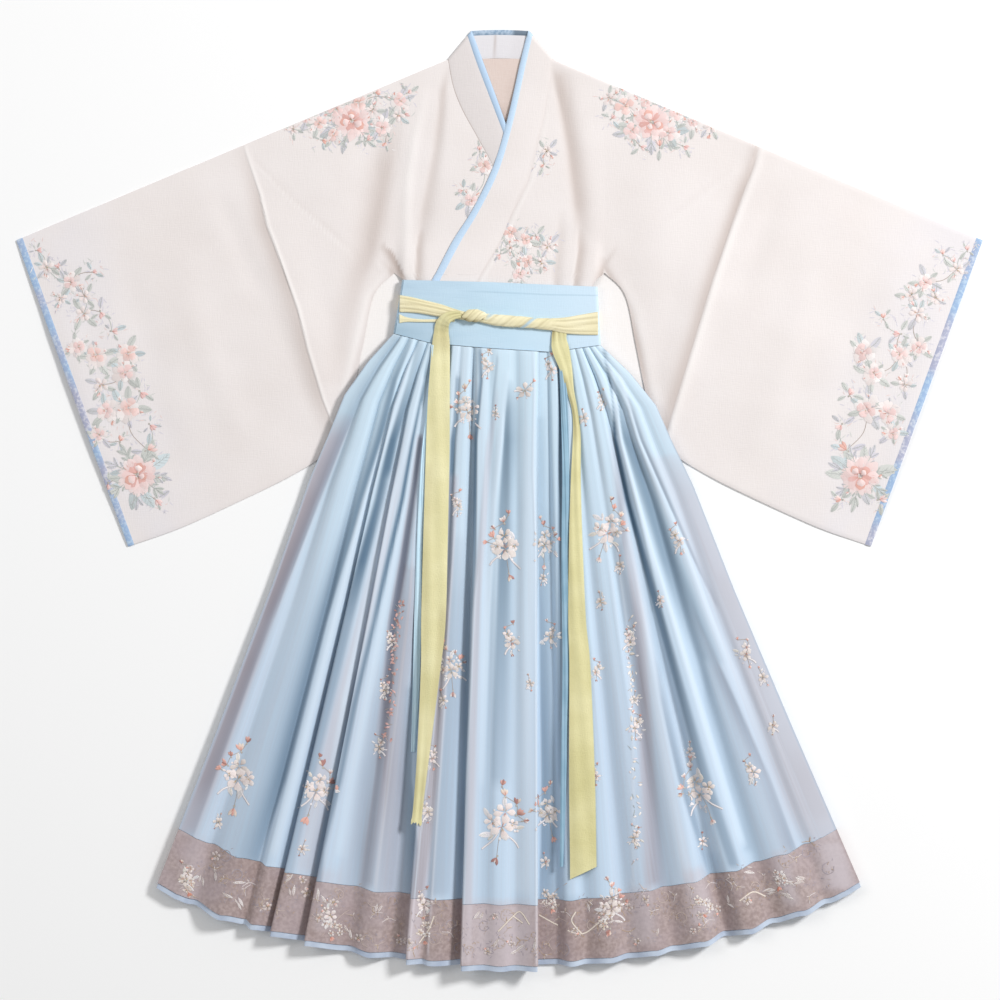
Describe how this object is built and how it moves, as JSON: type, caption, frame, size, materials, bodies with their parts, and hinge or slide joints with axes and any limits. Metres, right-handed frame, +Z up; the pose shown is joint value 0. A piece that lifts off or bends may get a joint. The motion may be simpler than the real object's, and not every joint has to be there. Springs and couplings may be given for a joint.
{
  "type": "hanfu robe set laid flat",
  "caption": "Hanfu set laid flat: cross-collar top with wide sleeves, pleated skirt with a sheer overlay and banded hem, and a tied belt with hanging tails.",
  "frame": {"origin": "middle of the footprint, on the surface that the set lies on", "axes": "+Y from the hem towards the collar, +Z up out of the front of the garment, +X towards the viewer's right (the wearer's left sleeve)"},
  "size_m": [1.4228, 1.384, 0.0323],
  "materials": {
    "ivory_cloth": "matt woven ivory cloth with embroidered flowers",
    "blue_piping": "light blue binding with a small brocade",
    "blue_cloth": "light blue cloth with a soft sheen",
    "sheer_overlay": "sheer lavender-grey organza with embroidered sprays",
    "taupe_band": "taupe organza band with embroidered scrolls",
    "hem_binding": "pale blue binding",
    "yellow_belt": "pale yellow satin",
    "blue_tie": "blue cloth tie"
  },
  "bodies": {
    "root": {"body_left": "ivory_cloth", "body_right": "ivory_cloth", "sleeve_left": "ivory_cloth", "sleeve_right": "ivory_cloth", "collar": "ivory_cloth", "collar_piping": "blue_piping", "cuff_left": "blue_piping", "cuff_right": "blue_piping", "waistband": "blue_cloth", "skirt_lining": "blue_cloth", "skirt_overlay": "sheer_overlay", "hem_band": "taupe_band", "hem_binding": "hem_binding", "belt_wrap": "yellow_belt", "belt_second_strand": "yellow_belt", "belt_knot": "yellow_belt", "belt_tail_left": "yellow_belt", "belt_tail_right": "yellow_belt", "waist_tie_left": "blue_tie", "waist_tie_right": "blue_tie"}
  },
  "joints": []
}
